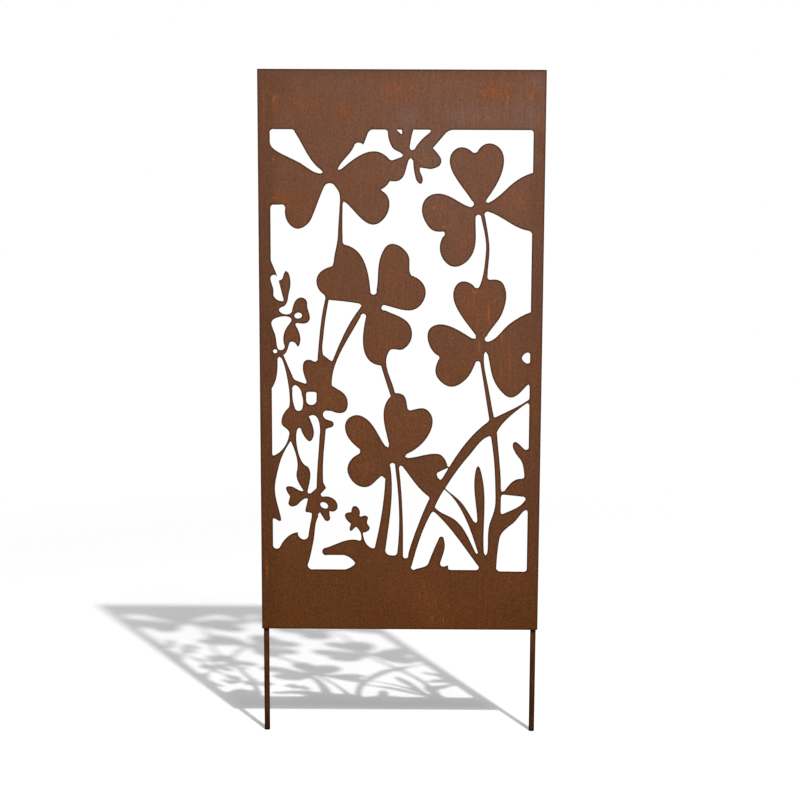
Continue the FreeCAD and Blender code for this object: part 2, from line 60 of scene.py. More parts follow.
# Screen sheet: one flat steel plate with the clover, blossom and grass ornament cut through it.
# It was left out to rust: an even brown skin with a fine upright grain, a dark line along every cut edge,
# and orange bloom where water sat or ran. A painted sheen makes it paler and greyer towards the top,
# and painted shade darkens its borders and its head.

FOOT_BROWN = (0.0865, 0.0263, 0.0051)
HEAD_LEFT_WITH_SHEEN = (0.1330, 0.0570, 0.0315)
HEAD_RIGHT_WITH_SHEEN = (0.1450, 0.0660, 0.0400)
WARM_STAIN = (0.1750, 0.0540, 0.0150)
PALE_SHEEN = (0.1520, 0.0860, 0.0680)
ORANGE_RUST = (0.3600, 0.0950, 0.0130)
SCALE_AND_SHADE_BROWN = (0.0340, 0.0115, 0.0030)
GREY_DUST = (0.1900, 0.1450, 0.1250)

sheet_low, sheet_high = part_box("screen_sheet")
SHEET_HEIGHT = sheet_high[2] - sheet_low[2]
SHEET_HALF = (sheet_high[0] - sheet_low[0]) / 2
CUT_RIM = 0.0056
CLOUD_SIZE = 0.055
FRAY_SIZE = 0.010
FRAY_REACH = 0.030
BREAK_SIZE = 0.0045
STREAK_SIZE = 0.0016
GRAIN_SIZE = 0.0011
GRAIN_DEPTH_FOOT = 0.31
GRAIN_DEPTH_HEAD = 0.20
SPECKLE_DIM = (0.82, 0.75, 0.62)
SPECKLE_BRIGHT = (1.18, 1.25, 1.38)
FLECK_SIZE = 0.0024
RAGGED_SIZE = 0.0012

# Stains, pale patches of painted sheen and rust marks on the front: place across and up, half width, half
# height, and strength.
WARM_STAINS = [
    (0.165, 0.964, 0.055, 0.034, 0.60),
    (-0.012, 0.964, 0.055, 0.034, 0.60),
    (0.037, 0.967, 0.030, 0.030, 0.35),
    (-0.097, 0.925, 0.024, 0.045, 0.70),
    (-0.170, 0.943, 0.070, 0.034, 0.34),
    (-0.225, 0.940, 0.022, 0.050, 0.50),
    (-0.234, 0.902, 0.022, 0.040, 0.45),
    (-0.199, 0.778, 0.050, 0.034, 0.55),
    (0.203, 0.772, 0.045, 0.045, 0.40),
    (0.068, 0.756, 0.045, 0.045, 0.30),
    (0.111, 0.705, 0.035, 0.035, 0.45),
    (0.103, 0.757, 0.032, 0.028, 0.28),
    (0.059, 0.547, 0.022, 0.024, 0.35),
    (0.135, 0.590, 0.055, 0.065, 0.48),
    (0.184, 0.500, 0.040, 0.100, 0.30),
    (-0.122, 0.440, 0.055, 0.080, 0.34),
    (-0.062, 0.301, 0.045, 0.045, 0.30),
    (0.014, 0.375, 0.060, 0.060, 0.35),
    (-0.027, 0.529, 0.045, 0.060, 0.30),
    (0.057, 0.050, 0.050, 0.090, 0.22),
    (0.025, 0.085, 0.090, 0.060, 0.12),
]
PALE_SHEEN_PATCHES = [
    (0.125, 0.922, 0.090, 0.032, 0.55),
    (0.218, 0.922, 0.045, 0.045, 0.65),
    (0.007, 0.918, 0.040, 0.034, 0.50),
    (0.029, 0.865, 0.040, 0.045, 0.45),
    (0.231, 0.982, 0.030, 0.030, 0.30),
    (0.065, 0.893, 0.026, 0.020, 0.30),
    (0.103, 0.757, 0.035, 0.030, 0.20),
]
DARK_STAINS = [
    (-0.225, 0.975, 0.060, 0.060, 0.25),
    (0.195, 0.030, 0.080, 0.075, 0.24),
    (0.243, 0.860, 0.016, 0.050, 0.22),
    (-0.242, 0.390, 0.016, 0.130, 0.18),
    (0.106, 0.461, 0.026, 0.026, 0.16),
]
RUST_MARKS = [
    # the top band, from left to right
    (-0.222, 0.947, 0.003, 0.006, 0.95),
    (-0.220, 0.952, 0.003, 0.005, 0.80),
    (-0.214, 0.953, 0.003, 0.009, 0.40),
    (-0.239, 0.930, 0.003, 0.070, 0.28),
    (-0.160, 0.916, 0.005, 0.005, 0.25),
    (-0.033, 0.957, 0.003, 0.003, 0.50),
    (-0.026, 0.966, 0.004, 0.004, 0.45),
    (-0.020, 0.958, 0.003, 0.004, 0.45),
    (-0.006, 0.967, 0.006, 0.006, 0.30),
    (0.018, 0.970, 0.004, 0.005, 0.60),
    (0.055, 0.989, 0.003, 0.014, 0.45),
    (0.056, 0.964, 0.003, 0.016, 0.25),
    (0.137, 0.962, 0.003, 0.005, 0.50),
    (0.142, 0.957, 0.003, 0.004, 0.60),
    (0.146, 0.965, 0.003, 0.004, 0.45),
    (0.157, 0.963, 0.004, 0.018, 0.40),
    (0.166, 0.961, 0.012, 0.005, 0.28),
    (0.182, 0.974, 0.003, 0.005, 0.85),
    (0.180, 0.965, 0.003, 0.008, 0.45),
    (0.184, 0.953, 0.004, 0.004, 1.00),
    (0.182, 0.945, 0.003, 0.006, 0.85),
    (0.182, 0.936, 0.003, 0.010, 0.35),
    (0.175, 0.951, 0.003, 0.004, 0.50),
    (0.229, 0.968, 0.004, 0.018, 0.35),
    (0.222, 0.955, 0.006, 0.014, 0.30),
    # the upper blossom and the two upper clovers
    (0.041, 0.849, 0.005, 0.004, 0.65),
    (0.035, 0.844, 0.004, 0.003, 0.45),
    (-0.223, 0.845, 0.003, 0.004, 0.65),
    (-0.221, 0.778, 0.006, 0.005, 0.35),
    (0.057, 0.763, 0.004, 0.004, 1.00),
    (0.071, 0.762, 0.003, 0.005, 0.65),
    (0.069, 0.750, 0.003, 0.003, 0.60),
    (0.075, 0.729, 0.005, 0.004, 0.95),
    (0.118, 0.713, 0.005, 0.005, 0.40),
    (0.113, 0.695, 0.003, 0.003, 0.55),
    (0.121, 0.815, 0.003, 0.012, 0.25),
    (0.212, 0.771, 0.003, 0.004, 0.50),
    # runs down the middle right clover
    (0.127, 0.617, 0.003, 0.004, 0.95),
    (0.134, 0.617, 0.003, 0.005, 0.95),
    (0.130, 0.613, 0.005, 0.003, 0.80),
    (0.129, 0.594, 0.003, 0.024, 0.25),
    (0.155, 0.577, 0.003, 0.022, 0.80),
    (0.157, 0.560, 0.003, 0.008, 0.55),
    (0.178, 0.538, 0.003, 0.020, 0.75),
    (0.139, 0.518, 0.003, 0.016, 0.70),
    (0.193, 0.476, 0.004, 0.045, 0.25),
    (0.177, 0.467, 0.003, 0.030, 0.20),
    # the left border's foot and the bottom band
    (-0.240, 0.113, 0.003, 0.006, 0.60),
    (-0.240, 0.112, 0.003, 0.034, 0.30),
    (0.043, 0.081, 0.004, 0.004, 0.25),
    (0.036, 0.065, 0.004, 0.014, 0.14),
    (0.049, 0.063, 0.003, 0.010, 0.22),
    (0.065, 0.050, 0.003, 0.018, 0.18),
    (0.059, 0.020, 0.003, 0.014, 0.25),
    (0.079, 0.017, 0.003, 0.012, 0.22),
    (0.089, 0.044, 0.003, 0.004, 0.35),
    (0.121, 0.057, 0.003, 0.003, 0.25),
]


def new_finish(name):
    """An empty material with its shader, node tree and a short way to add a wired node."""
    material = bpy.data.materials.new(name)
    material.use_nodes = True
    tree = material.node_tree
    shader = tree.nodes["Principled BSDF"]

    def add(kind, settings=None, **sockets):
        node = tree.nodes.new("ShaderNode" + kind)
        for key, value in (settings or {}).items():
            setattr(node, key, value)
        for key, value in sockets.items():
            put(node.inputs[int(key[1:]) if key[1:].isdigit() else key.replace("_", " ")], value)
        return node

    def put(socket, value):
        if isinstance(value, bpy.types.NodeSocket):
            tree.links.new(value, socket)
        elif isinstance(value, tuple) and len(value) == 3 and len(socket.default_value) == 4:
            socket.default_value = (*value, 1.0)
        else:
            socket.default_value = value

    return material, shader, add, put


def math_node(add, operation, first, second=0.5, clamp=False):
    """One sum on two values or wires."""
    return add("Math", {"operation": operation, "use_clamp": clamp}, i0=first, i1=second).outputs[0]


def between(add, value, low, high, to_low=0.0, to_high=1.0):
    """Stretches a value's range from low to high over to_low to to_high, smoothly, and holds its ends."""
    smooth = {"interpolation_type": "SMOOTHSTEP"}
    return add("MapRange", smooth, i0=value, i1=low, i2=high, i3=to_low, i4=to_high).outputs[0]


def tint(add, factor, under, over, blend="MIX"):
    """Lays one colour over another by a factor."""
    node = add("Mix", {"data_type": "RGBA", "blend_type": blend}, i0=factor, i6=under, i7=over)
    return node.outputs[2]


def noise_node(add, place, size, stretch=(1.0, 1.0, 1.0), detail=3.0, rough=0.55,
               shift=(0.0, 0.0, 0.0)):
    """Cloudy noise with features of about the given size in metres, drawn out by stretch."""
    scale = [1.0 / part for part in stretch]
    moved = add("Mapping", i1=shift, i3=scale, i0=place).outputs[0]
    return add("TexNoise", i0=moved, Scale=1.0 / (2.0 * size), Detail=detail, Roughness=rough)


def noise(add, place, size, **settings):
    """The grey value of that noise."""
    return noise_node(add, place, size, **settings).outputs[0]


def marks(add, place, spots):
    """The strongest of a list of soft upright oval spots, each fading out at its rim."""
    strongest = 0.0
    for x, z, half_width, half_height, strength in spots:
        shrink = (1.0 / half_width, 0.0, 1.0 / half_height)
        shift = (-x / half_width, 0.0, -z / half_height)
        oval = add("VectorMath", {"operation": "MULTIPLY_ADD"}, i0=place, i1=shrink, i2=shift).outputs[0]
        away = add("VectorMath", {"operation": "LENGTH"}, i0=oval).outputs["Value"]
        strongest = math_node(add, "MAXIMUM", between(add, away, 1.0, 0.0, 0.0, strength), strongest)
    return strongest


rusted_sheet, sheet_shader, add, put = new_finish("rusted_sheet")
place = add("TexCoord").outputs["Object"]
apart = add("SeparateXYZ", i0=place).outputs
across, up = apart[0], apart[2]
flat_normal = add("NewGeometry").outputs["True Normal"]
facing = add("SeparateXYZ", i0=flat_normal).outputs[1]
front = between(add, facing, -0.4, -0.6)
back = between(add, facing, 0.4, 0.6)

# The even brown, from foot to head, clouded a little everywhere. Towards the head it turns paler
# and greyer, and a pale cloud lies over the upper part: a painted sheen over the rust's own brown.
# It is darker along the borders and the head: painted shade.
rise = add("MapRange", i0=up, i1=0.0, i2=SHEET_HEIGHT).outputs[0]
head = tint(add, between(add, across, -0.20, 0.10), HEAD_LEFT_WITH_SHEEN, HEAD_RIGHT_WITH_SHEEN)
colour = tint(add, rise, FOOT_BROWN, head)
warm_cloud = noise(add, place, CLOUD_SIZE, stretch=(1.0, 1.0, 1.6), detail=4.0)
warm_share = between(add, warm_cloud, 0.44, 0.76, 0.0, 0.40)
warm_share = math_node(add, "MULTIPLY", warm_share, between(add, rise, 0.0, 0.5, 0.3, 1.0))
# Painted sheen: a pale, greyer cloud over the upper part, stronger to the right.
pale_sheen_cloud = noise(add, place, CLOUD_SIZE * 0.6, stretch=(1.0, 1.0, 2.4), detail=5.0,
                   shift=(3.1, 0.7, 1.9))
pale_sheen_share = between(add, pale_sheen_cloud, 0.46, 0.72, 0.0, 0.40)
pale_sheen_share = math_node(add, "MULTIPLY", pale_sheen_share, between(add, rise, 0.60, 0.90))
pale_sheen_share = math_node(add, "MULTIPLY", pale_sheen_share, between(add, across, -0.15, 0.15, 0.15, 1.0))
# Painted shade: darker towards the left and right borders and along the head edge.
left_shade = between(add, across, -SHEET_HALF * 0.82, -SHEET_HALF * 0.94, 0.0, 0.26)
right_shade = between(add, across, SHEET_HALF * 0.82, SHEET_HALF * 0.94, 0.0, 0.15)
right_shade = math_node(add, "MULTIPLY", right_shade, between(add, rise, 0.90, 0.80))
head_shade = between(add, rise, 0.974, 1.0, 0.0, 0.18)
dark_share = math_node(add, "MAXIMUM", math_node(add, "MAXIMUM", left_shade, right_shade), head_shade)

# Stains on the front: warm where water ran and dried, and pale patches near the top that add to the
# painted sheen there.
# A slow noise bends their outlines and a finer one breaks them up.
bent = noise_node(add, place, FRAY_SIZE, detail=3.0, rough=0.6, shift=(5.2, 0.6, 2.4)).outputs["Color"]
bent = add("VectorMath", {"operation": "SUBTRACT"}, i0=bent, i1=(0.5, 0.5, 0.5)).outputs[0]
bent = add("VectorMath", {"operation": "SCALE"}, i0=bent, Scale=FRAY_REACH).outputs[0]
frayed = add("VectorMath", {"operation": "ADD"}, i0=place, i1=bent).outputs[0]
broken = noise(add, place, BREAK_SIZE, stretch=(1.0, 1.0, 2.6), detail=4.0, rough=0.6,
               shift=(0.9, 3.3, 6.1))
broken_share = between(add, broken, 0.30, 0.70, 0.55, 1.30)
on_front = math_node(add, "MULTIPLY", broken_share, front)
warm_stain = math_node(add, "MULTIPLY", marks(add, frayed, WARM_STAINS), on_front)
streaks = noise(add, place, STREAK_SIZE, stretch=(1.0, 1.0, 14.0), detail=3.0, shift=(7.7, 0.4, 1.2))
pale_streaks = math_node(add, "MULTIPLY", between(add, streaks, 0.32, 0.68, 0.45, 1.35), front)
pale_sheen_patch = math_node(add, "MULTIPLY", marks(add, frayed, PALE_SHEEN_PATCHES), pale_streaks)
dark_stain = math_node(add, "MULTIPLY", marks(add, frayed, DARK_STAINS), front)
colour = tint(add, math_node(add, "MAXIMUM", warm_share, warm_stain), colour, WARM_STAIN)
colour = tint(add, math_node(add, "MAXIMUM", pale_sheen_share, pale_sheen_patch), colour, PALE_SHEEN)
colour = tint(add, math_node(add, "MAXIMUM", dark_share, dark_stain), colour, SCALE_AND_SHADE_BROWN)

# The back: rust bloomed around each weld and ran down below it, and the heat left dark scale
# beside the bead. Half width, half height and strength of each spot.
WELD_PLACES = 5
WELD_LENGTH = 0.028
BURNT = (0.011, 0.021, 0.80)
BLOOM = (0.024, 0.034, 0.40)
BLOOM_DROP = 0.006
RUN = (0.012, 0.060, 0.22)
RUN_DROP = 0.055
weld_low, weld_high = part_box("right_stake_welds")
weld_across = (weld_low[0] + weld_high[0]) / 2
weld_pitch = (weld_high[2] - weld_low[2] - WELD_LENGTH) / (WELD_PLACES - 1)
burnt_spots = []
bloom_spots = []
for spot in range(WELD_PLACES):
    weld_middle = weld_low[2] + WELD_LENGTH / 2 + spot * weld_pitch
    for x in (-weld_across, weld_across):
        burnt_spots.append((x, weld_middle, *BURNT))
        bloom_spots.append((x, weld_middle - BLOOM_DROP, *BLOOM))
        bloom_spots.append((x, weld_middle - RUN_DROP, *RUN))
on_back = math_node(add, "MULTIPLY", broken_share, back)
bloom_share = math_node(add, "MULTIPLY", marks(add, frayed, bloom_spots), on_back)
colour = tint(add, bloom_share, colour, ORANGE_RUST)
burnt_share = math_node(add, "MULTIPLY", marks(add, frayed, burnt_spots), on_back)
colour = tint(add, burnt_share, colour, SCALE_AND_SHADE_BROWN)

# The fine upright grain of the rust skin, its longer drawn lines, a finer speckle of several
# browns, and grey dust in the grain.
grain = noise(add, place, GRAIN_SIZE, stretch=(1.0, 1.0, 1.7), detail=2.0, rough=0.65)
drawn = noise(add, place, GRAIN_SIZE, stretch=(1.0, 1.0, 22.0), detail=2.0, shift=(6.2, 0.1, 0.9))
grain_depth = between(add, rise, 0.0, 0.8, GRAIN_DEPTH_FOOT, GRAIN_DEPTH_HEAD)
grain_value = math_node(add, "MULTIPLY", between(add, grain, 0.25, 0.75, -1.0, 1.0), grain_depth)
grain_value = math_node(add, "ADD", grain_value, 1.0)
drawn_value = between(add, drawn, 0.30, 0.70, 0.93, 1.07)
grain_both = math_node(add, "MULTIPLY", grain_value, drawn_value)
grey = add("CombineColor", i0=grain_both, i1=grain_both, i2=grain_both).outputs[0]
colour = tint(add, 1.0, colour, grey, "MULTIPLY")
speckle = noise_node(add, place, GRAIN_SIZE * 0.7, detail=2.0, rough=0.6, shift=(1.7, 4.1, 0.3))
speckle = add("MapRange", {"data_type": "FLOAT_VECTOR"}, Vector=speckle.outputs["Color"],
              i7=(0.25, 0.25, 0.25), i8=(0.75, 0.75, 0.75), i9=SPECKLE_DIM, i10=SPECKLE_BRIGHT)
colour = tint(add, 1.0, colour, speckle.outputs["Vector"], "MULTIPLY")
dust = noise(add, place, GRAIN_SIZE * 0.8, stretch=(1.0, 1.0, 1.4), detail=2.0, rough=0.7,
             shift=(8.3, 2.6, 4.4))
dust_share = between(add, dust, 0.50, 0.80, 0.0, 0.28)
dust_share = math_node(add, "MULTIPLY", dust_share, between(add, rise, 0.0, 0.6, 0.70, 1.0))
colour = tint(add, dust_share, colour, GREY_DUST)

# Sparse orange specks, then the marks where water sat, broken up by the grain.
fleck = noise(add, place, FLECK_SIZE, stretch=(1.0, 1.0, 1.5), detail=1.0, shift=(0.4, 2.2, 5.3))
fleck_share = between(add, warm_cloud, 0.45, 0.62, 0.04, 0.30)
fleck_share = math_node(add, "MULTIPLY", between(add, fleck, 0.66, 0.78), fleck_share)
ragged = noise(add, place, RAGGED_SIZE, stretch=(1.0, 1.0, 1.8), detail=2.0, rough=0.6,
               shift=(2.9, 1.3, 0.8))
ragged_share = between(add, ragged, 0.35, 0.62, 0.35, 1.0)
mark_share = math_node(add, "MULTIPLY", marks(add, place, RUST_MARKS), ragged_share)
rust_share = math_node(add, "MULTIPLY", math_node(add, "MAXIMUM", fleck_share, mark_share), front)
colour = tint(add, rust_share, colour, ORANGE_RUST)

# The cut edges: dark scale on the walls of the cuts, and a dark line beside them on both faces.
rounded = add("Bevel", {"samples": 8}, Radius=CUT_RIM).outputs[0]
level = add("VectorMath", {"operation": "DOT_PRODUCT"}, i0=rounded, i1=flat_normal).outputs["Value"]
rim_share = between(add, level, 0.9995, 0.95, 0.0, 0.80)
wall_share = between(add, math_node(add, "ABSOLUTE", facing), 0.6, 0.2, 0.0, 0.70)
colour = tint(add, math_node(add, "MAXIMUM", rim_share, wall_share), colour, SCALE_AND_SHADE_BROWN)

put(sheet_shader.inputs["Base Color"], colour)
put(sheet_shader.inputs["Roughness"], between(add, grain, 0.3, 0.7, 0.75, 0.95))
put(sheet_shader.inputs["Specular IOR Level"], 0.04)
bump = add("Bump", Strength=0.3, Distance=0.0003, Height=grain_both)
put(sheet_shader.inputs["Normal"], bump.outputs[0])

screen_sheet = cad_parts["screen_sheet"]
screen_sheet.data.materials.clear()
screen_sheet.data.materials.append(rusted_sheet)


# Bars: two lengths of round steel bar, welded up the sheet's back inside its side borders.
# Their lower ends stand out below the sheet as the ground stakes, cut square.
# They carry darker mill scale than the sheet, with rust drawn along their length. Painted shade darkens
# their flanks and makes them darkest at their feet, and a painted shadow of the sheet lies on them
# just below it.

BAR_BROWN = (0.0660, 0.0190, 0.0047)
BAR_RUST = (0.135, 0.0430, 0.0115)
BAR_SCALE_AND_SHADE = (0.017, 0.0070, 0.0030)
BAR_SHADE_DARK = (0.0025, 0.0012, 0.0008)
SHEET_SHADOW_REACH = 0.0065
FOOT_SHADE = 0.53
TIP_SHADE = 0.85
TIP_REACH = 0.006
BAR_STREAK = 0.0022
BAR_PIT = 0.0011
SHADED_FLANK_FROM = 0.0015
SHADED_FLANK_TO = 0.0042
BAR_SIDES = 48
BAR_CHAMFER = 0.0005

rusted_bar, bar_shader, add, put = new_finish("rusted_bar")
place = add("TexCoord").outputs["Object"]
drawn = noise(add, place, BAR_STREAK, stretch=(1.0, 1.0, 9.0), detail=4.0)
colour = tint(add, between(add, drawn, 0.40, 0.70, 0.0, 0.8), BAR_BROWN, BAR_RUST)
pits = noise(add, place, BAR_PIT, stretch=(1.0, 1.0, 1.6), detail=2.0, shift=(0.3, 5.0, 2.0))
colour = tint(add, between(add, pits, 0.54, 0.68, 0.0, 0.6), colour, BAR_SCALE_AND_SHADE)
apart = add("SeparateXYZ", i0=place).outputs
right_low, right_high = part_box("right_stake")
bar_axis = (right_low[0] + right_high[0]) / 2
# Painted shade: the bar darkens away from its axis towards its flanks, as a lit round bar's sides do.
off_axis = math_node(add, "SUBTRACT", math_node(add, "ABSOLUTE", apart[0]), bar_axis)
off_axis = math_node(add, "ABSOLUTE", off_axis)
colour = tint(add, between(add, off_axis, SHADED_FLANK_FROM, SHADED_FLANK_TO, 0.0, 0.60), colour, BAR_SCALE_AND_SHADE)
colour = tint(add, marks(add, place, burnt_spots), colour, BAR_SCALE_AND_SHADE)

# Painted shade: the bars darken from the sheet down to their feet, most of all at the cut ends.
below = math_node(add, "DIVIDE", apart[2], right_low[2])
foot_share = math_node(add, "MULTIPLY", below, FOOT_SHADE, clamp=True)
above_tip = math_node(add, "SUBTRACT", apart[2], right_low[2])
tip_share = between(add, above_tip, TIP_REACH, TIP_REACH * 0.4, 0.0, TIP_SHADE)
colour = tint(add, math_node(add, "MAXIMUM", foot_share, tip_share), colour, BAR_SHADE_DARK)

# Painted shadow of the sheet, on the bar where it leaves the sheet.
sheet_shadow_lower = between(add, apart[2], -SHEET_SHADOW_REACH, -SHEET_SHADOW_REACH * 0.5, 0.0, 0.95)
sheet_shadow_upper = between(add, apart[2], SHEET_SHADOW_REACH * 2, SHEET_SHADOW_REACH)
colour = tint(add, math_node(add, "MULTIPLY", sheet_shadow_lower, sheet_shadow_upper), colour, BAR_SHADE_DARK)
put(bar_shader.inputs["Base Color"], colour)
put(bar_shader.inputs["Roughness"], between(add, pits, 0.35, 0.65, 0.62, 0.88))
put(bar_shader.inputs["Specular IOR Level"], 0.03)
bump = add("Bump", Strength=0.4, Distance=0.0004, Height=pits)
put(bar_shader.inputs["Normal"], bump.outputs[0])

for name in ("left_stake", "right_stake"):
    bar_low, bar_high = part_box(name)
    bar_radius = (bar_high[0] - bar_low[0]) / 2
    middle = ((bar_low[0] + bar_high[0]) / 2, (bar_low[1] + bar_high[1]) / 2, bar_low[2])
    mesh = bpy.data.meshes.new(name + "_bar")
    shape = bmesh.new()
    bmesh.ops.create_circle(shape, cap_ends=True, radius=bar_radius, segments=BAR_SIDES)
    bmesh.ops.translate(shape, verts=shape.verts, vec=middle)
    drawn_out = bmesh.ops.extrude_face_region(shape, geom=list(shape.faces))["geom"]
    top = [v for v in drawn_out if isinstance(v, bmesh.types.BMVert)]
    bmesh.ops.translate(shape, verts=top, vec=(0.0, 0.0, bar_high[2] - bar_low[2]))
    rims = [e for e in shape.edges if abs(e.verts[0].co.z - e.verts[1].co.z) < 1e-6]
    bmesh.ops.bevel(shape, geom=rims, offset=BAR_CHAMFER, affect="EDGES", segments=2,
                    profile=0.5, material=-1)
    bmesh.ops.recalc_face_normals(shape, faces=shape.faces)
    for face in shape.faces:
        face.smooth = len(face.verts) == 4
    shape.to_mesh(mesh)
    shape.free()
    bar = bpy.data.objects.new(name + "_bar", mesh)
    bpy.context.collection.objects.link(bar)
    bar.data.materials.append(rusted_bar)
    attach(bar, "root")
    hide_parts(name)


# Welds: short stitch beads of filler metal in the corners between the bars and the sheet's back.
# Each was laid upwards in one pass, so it is a row of overlapping ripples with rounded ends.
# They are darker and greyer than the plate, with rust caught between the ripples.

WELD_LEG = 0.005
WELD_ROOT = 0.0015
WELD_RISE = math.radians(60.0)
WELD_CROWN = 0.0004
RIPPLE_PITCH = 0.0021
RIPPLE_DEPTH = 0.11
RIPPLE_SHARPNESS = 0.7
RIPPLE_BOW = 0.45
RING_STEP = 0.00042
FACE_STEPS = 6
END_ROUND = 0.0035
END_SIZE = 0.35
SINK = 0.0001
MOTTLE_SIZE = 0.0018
GREY_CLOUD_SIZE = 0.0040

WELD_BROWN = (0.050, 0.0230, 0.0120)
WELD_RUST = (0.150, 0.0520, 0.0160)
WELD_GREY = (0.060, 0.0500, 0.0440)

weld_bead, weld_shader, add, put = new_finish("weld_bead")
place = add("TexCoord").outputs["Object"]
mottle = noise(add, place, MOTTLE_SIZE, detail=4.0)
colour = tint(add, between(add, mottle, 0.42, 0.66), WELD_BROWN, WELD_RUST)
grey_cloud = noise(add, place, GREY_CLOUD_SIZE, detail=3.0, shift=(4.0, 1.0, 2.0))
colour = tint(add, between(add, grey_cloud, 0.50, 0.70, 0.0, 0.8), colour, WELD_GREY)
put(weld_shader.inputs["Base Color"], colour)
put(weld_shader.inputs["Roughness"], between(add, mottle, 0.35, 0.65, 0.50, 0.80))
put(weld_shader.inputs["Specular IOR Level"], 0.3)


def bead(shape, bar_x, bar_radius, back, way, foot):
    """One rippled bead beside a bar, drawn up ring by ring from its foot and closed at both ends."""
    def on_bar(angle):
        return ((bar_radius + SINK) * math.sin(angle), bar_radius - (bar_radius - SINK) * math.cos(angle))

    toe = (WELD_LEG, -SINK)
    shoulder = on_bar(WELD_RISE)
    root_angle = math.asin(WELD_ROOT / bar_radius)
    outline = [(WELD_ROOT, -SINK), ((WELD_ROOT + WELD_LEG) / 2, -SINK)]
    crescent = [0.0, 0.0]
    for step in range(FACE_STEPS + 1):
        along = step / FACE_STEPS
        bow = 4 * along * (1 - along)
        out = toe[0] + (shoulder[0] - toe[0]) * along
        outline.append((out + bow * WELD_CROWN, toe[1] + (shoulder[1] - toe[1]) * along))
        crescent.append(bow)
    for share in (0.67, 0.33, 0.0):
        outline.append(on_bar(WELD_RISE * share + root_angle * (1.0 - share)))
    crescent += [0.0, 0.0, 0.0]

    rings = int(round(WELD_LENGTH / RING_STEP))
    verts = [shape.verts.new((0.0, 0.0, 0.0)) for _ in outline]
    loop = [shape.edges.new((verts[i], verts[(i + 1) % len(verts)])) for i in range(len(verts))]
    first_loop = list(loop)
    for ring in range(rings + 1):
        rise = ring / rings * WELD_LENGTH
        wave = abs(math.sin(math.pi * rise / RIPPLE_PITCH)) ** RIPPLE_SHARPNESS
        ripple = 1.0 - RIPPLE_DEPTH * (1.0 - wave)
        from_end = min(rise, WELD_LENGTH - rise)
        ends = 1.0
        if from_end < END_ROUND:
            ends = END_SIZE + (1.0 - END_SIZE) * math.sqrt(1.0 - (1.0 - from_end / END_ROUND) ** 2)
        lift = RIPPLE_PITCH * RIPPLE_BOW * min(1.0, from_end / END_ROUND)
        for vert, (out, up_back), bow in zip(verts, outline, crescent):
            on_face = bow > 0.0
            size = ends * (ripple if on_face else 1.0)
            x = WELD_ROOT + (out - WELD_ROOT) * size
            y = up_back * size if up_back > 0.0 else up_back
            vert.co = (bar_x + way * x, back + y, foot + rise + lift * bow)
        if ring < rings:
            made = bmesh.ops.extrude_edge_only(shape, edges=loop)["geom"]
            new_verts = {v for v in made if isinstance(v, bmesh.types.BMVert)}
            loop = [e for e in made if isinstance(e, bmesh.types.BMEdge) and set(e.verts) <= new_verts]
            verts = [
                next(e.other_vert(v) for e in v.link_edges if e.other_vert(v) in new_verts)
                for v in verts
            ]
    bmesh.ops.edgeloop_fill(shape, edges=first_loop)
    bmesh.ops.edgeloop_fill(shape, edges=loop)


for bar_name, weld_name in (("left_stake", "left_stake_welds"), ("right_stake", "right_stake_welds")):
    bar_low, bar_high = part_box(bar_name)
    weld_low, weld_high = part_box(weld_name)
    bar_x = (bar_low[0] + bar_high[0]) / 2
    bar_radius = (bar_high[0] - bar_low[0]) / 2
    mesh = bpy.data.meshes.new(weld_name + "_beads")
    shape = bmesh.new()
    for spot in range(WELD_PLACES):
        for way in (-1, 1):
            bead(shape, bar_x, bar_radius, sheet_high[1], way, weld_low[2] + spot * weld_pitch)
    bmesh.ops.recalc_face_normals(shape, faces=shape.faces)
    shape.to_mesh(mesh)
    shape.free()
    for polygon in mesh.polygons:
        polygon.use_smooth = True
    piece = bpy.data.objects.new(weld_name + "_beads", mesh)
    bpy.context.collection.objects.link(piece)
    piece.data.materials.append(weld_bead)
    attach(piece, "root")
    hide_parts(weld_name)


# Stage: a white floor at the stakes' feet that runs out into a white backdrop, in even white light.
# A high lamp at the front right throws the ornament's shadow on the floor, back and to the left.

floor_height = cad_box[0][2]
FLOOR_REACH = 40.0
FLOOR_WHITE = (0.99, 0.99, 0.99)
BACKDROP_FROM = 1.2
BACKDROP_TO = 2.2

mesh = bpy.data.meshes.new("floor")
shape = bmesh.new()
bmesh.ops.create_grid(shape, x_segments=1, y_segments=1, size=FLOOR_REACH)
bmesh.ops.translate(shape, verts=shape.verts, vec=(0.0, 0.0, floor_height))
shape.to_mesh(mesh)
shape.free()
floor = bpy.data.objects.new("floor", mesh)
bpy.context.collection.objects.link(floor)

white_floor, floor_shader, add, put = new_finish("white_floor")
put(floor_shader.inputs["Base Color"], FLOOR_WHITE)
put(floor_shader.inputs["Roughness"], 1.0)
put(floor_shader.inputs["Specular IOR Level"], 0.0)
place = add("TexCoord").outputs["Object"]
level_place = add("VectorMath", {"operation": "MULTIPLY"}, i0=place, i1=(1.0, 1.0, 0.0)).outputs[0]
away = add("VectorMath", {"operation": "LENGTH"}, i0=level_place).outputs["Value"]
backdrop = add("Emission", Color=(1.0, 1.0, 1.0), Strength=1.0).outputs[0]
backdrop_share = between(add, away, BACKDROP_FROM, BACKDROP_TO)
blend = add("MixShader", i0=backdrop_share, i1=floor_shader.outputs[0], i2=backdrop)
output = white_floor.node_tree.nodes["Material Output"]
put(output.inputs["Surface"], blend.outputs[0])
floor.data.materials.append(white_floor)

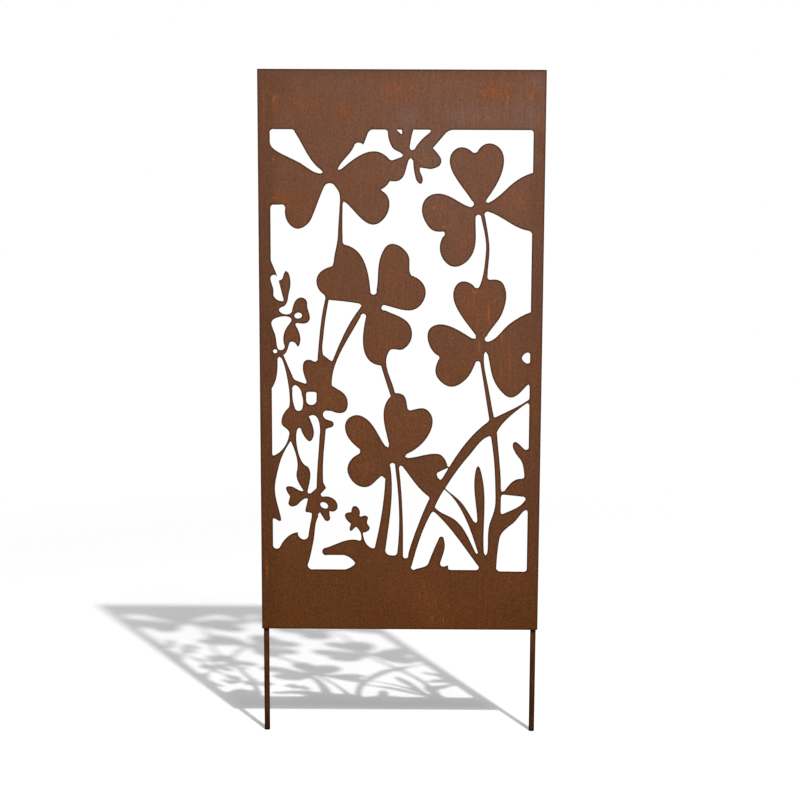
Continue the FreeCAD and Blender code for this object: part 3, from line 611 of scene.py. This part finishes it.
SKY = 0.46
world = bpy.data.worlds.new("white_surround")
world.use_nodes = True
bpy.context.scene.world = world
nodes = world.node_tree.nodes
links = world.node_tree.links
path = nodes.new("ShaderNodeLightPath")
seen = nodes.new("ShaderNodeMath")
seen.operation = "MAXIMUM"
links.new(path.outputs["Is Camera Ray"], seen.inputs[0])
links.new(path.outputs["Is Transmission Ray"], seen.inputs[1])
seen_more = nodes.new("ShaderNodeMath")
seen_more.operation = "MAXIMUM"
links.new(seen.outputs[0], seen_more.inputs[0])
links.new(path.outputs["Is Glossy Ray"], seen_more.inputs[1])
strength = nodes.new("ShaderNodeMapRange")
links.new(seen_more.outputs[0], strength.inputs[0])
strength.inputs[3].default_value = SKY
strength.inputs[4].default_value = 1.0
background = nodes["Background"]
background.inputs["Color"].default_value = (1.0, 1.0, 1.0, 1.0)
links.new(strength.outputs[0], background.inputs["Strength"])

LAMP_TO_RIGHT = math.radians(26.57)
LAMP_HEIGHT = math.radians(54.5)
LAMP_DISTANCE = 10.0
LAMP_AIM = Vector((0.0, 0.0, 0.4))
# Two globes at one place, each with its power and radius: a small one for the crisp shadow
# and a wide one that softens its far end.
LAMPS = {"small_lamp": (2730.0, 0.13), "wide_lamp": (880.0, 1.2)}
towards_lamp = Vector((
    math.sin(LAMP_TO_RIGHT) * math.cos(LAMP_HEIGHT),
    -math.cos(LAMP_TO_RIGHT) * math.cos(LAMP_HEIGHT),
    math.sin(LAMP_HEIGHT),
))
for name, (power, radius) in LAMPS.items():
    lamp_data = bpy.data.lights.new(name, "POINT")
    lamp_data.energy = power
    lamp_data.shadow_soft_size = radius
    lamp = bpy.data.objects.new(name, lamp_data)
    lamp.location = LAMP_AIM + towards_lamp * LAMP_DISTANCE
    bpy.context.collection.objects.link(lamp)


# Camera: a long lens in front of the screen, a little above its middle and tipped down,
# so that the sheet narrows slightly towards its foot.

CAMERA_DISTANCE = 3.1237
CAMERA_TO_RIGHT = math.radians(0.2975)
CAMERA_HEIGHT = math.radians(9.304)
CAMERA_ROLL = math.radians(0.2216)
FOCAL_PIXELS = 1753.1
PICTURE_PIXELS = 800.0
SENSOR_WIDTH = 36.0
FARTHEST_SEEN = 200.0
CAMERA_AIM = Vector((-0.0011, 0.0, 0.4209))

forward = Vector((
    -math.sin(CAMERA_TO_RIGHT) * math.cos(CAMERA_HEIGHT),
    math.cos(CAMERA_TO_RIGHT) * math.cos(CAMERA_HEIGHT),
    -math.sin(CAMERA_HEIGHT),
))
level_right = Vector((math.cos(CAMERA_TO_RIGHT), math.sin(CAMERA_TO_RIGHT), 0.0))
level_up = level_right.cross(forward)
right = level_right * math.cos(CAMERA_ROLL) + level_up * math.sin(CAMERA_ROLL)
upward = level_up * math.cos(CAMERA_ROLL) - level_right * math.sin(CAMERA_ROLL)

camera_data = bpy.data.cameras.new("camera")
camera_data.sensor_width = SENSOR_WIDTH
camera_data.lens = FOCAL_PIXELS / PICTURE_PIXELS * SENSOR_WIDTH
camera_data.clip_end = FARTHEST_SEEN
camera = bpy.data.objects.new("camera", camera_data)
turn = Matrix((right, upward, -forward)).transposed().to_4x4()
camera.matrix_world = Matrix.Translation(CAMERA_AIM - forward * CAMERA_DISTANCE) @ turn
bpy.context.collection.objects.link(camera)
bpy.context.scene.camera = camera

bpy.context.scene.view_settings.view_transform = "Standard"
